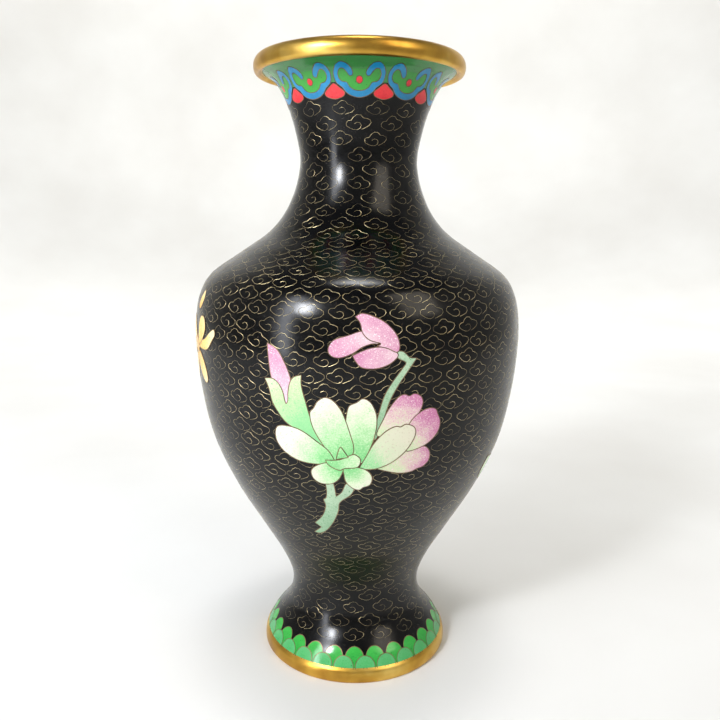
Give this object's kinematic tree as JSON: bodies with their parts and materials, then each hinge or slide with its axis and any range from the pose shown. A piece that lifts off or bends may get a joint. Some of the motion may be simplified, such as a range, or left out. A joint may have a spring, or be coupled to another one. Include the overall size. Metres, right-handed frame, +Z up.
{
  "type": "cloisonne vase",
  "caption": "Baluster vase with flared neck and spreading foot: copper body, black cloisonne enamel with flower sprays, gilt mouth and foot rings.",
  "frame": {"origin": "centre of the foot ring's bottom face, where the vase stands", "axes": "+Z up along the vase's axis; the magnolia spray faces -Y; +X is to the right seen from the front"},
  "size_m": [0.124, 0.124, 0.23],
  "materials": {
    "gilt_brass": "polished gilding",
    "spun_copper": "spun and pickled copper",
    "lining_blue": "fired counter-enamel",
    "black_enamel": "polished opaque enamel",
    "collar_green": "polished opaque enamel",
    "collar_blue": "polished opaque enamel",
    "border_red": "polished opaque enamel",
    "foot_green": "polished opaque enamel",
    "petal_green_white": "polished enamel shaded from green to white",
    "petal_pink": "polished enamel stippled from white to pink",
    "petal_cream": "polished enamel shaded from green to cream",
    "stem_green": "polished grey-green enamel",
    "petal_yellow": "polished enamel shaded from orange to cream",
    "leaf_green": "polished pale green enamel",
    "wire_brass": "ground flush and gilded"
  },
  "bodies": {
    "root": {"mouth_ring": "gilt_brass", "foot_ring": "gilt_brass", "neck_wall": "spun_copper", "shoulder_wall": "spun_copper", "belly_wall": "spun_copper", "foot_wall": "spun_copper", "base_disc": "spun_copper", "neck_lining": "lining_blue", "body_lining": "lining_blue", "floor_lining": "lining_blue", "foot_lining": "lining_blue", "base_enamel": "lining_blue", "neck_ground": "black_enamel", "body_ground": "black_enamel", "foot_ground": "black_enamel", "collar_ground": "collar_green", "collar_bands": "collar_blue", "collar_dots": "border_red", "collar_pendants": "border_red", "head_wires": "wire_brass", "scroll_wires": "wire_brass", "dot_wires": "wire_brass", "pendant_wires": "wire_brass", "foot_scales_upper": "foot_green", "foot_scales_lower": "foot_green", "upper_scale_wires": "wire_brass", "lower_scale_wires": "wire_brass", "flower_cup": "petal_green_white", "cup_tip": "petal_green_white", "sepal_left": "petal_green_white", "sepal_right": "petal_green_white", "petal_left": "petal_green_white", "petal_cream": "petal_cream", "petal_mid_left": "petal_green_white", "petal_mid_right": "petal_green_white", "petal_pink_mid": "petal_pink", "petal_pink_top": "petal_pink", "petal_pink_low": "petal_pink", "bud_calyx": "petal_green_white", "bud_petal": "petal_pink", "stem_upper": "stem_green", "stem_lower": "stem_green", "bloom_top": "petal_pink", "bloom_bottom": "petal_pink", "bloom_left": "petal_pink", "flower_wires": "wire_brass", "bud_wires": "wire_brass", "stem_wires": "wire_brass", "bloom_wires": "wire_brass", "yellow_heart": "petal_yellow", "yellow_petals": "petal_yellow", "yellow_bud": "petal_yellow", "yellow_stem": "stem_green", "yellow_leaves": "leaf_green", "yellow_wires": "wire_brass", "sprig_leaves": "leaf_green", "sprig_bud": "petal_pink", "sprig_stem": "stem_green", "sprig_wires": "wire_brass"}
  },
  "joints": []
}
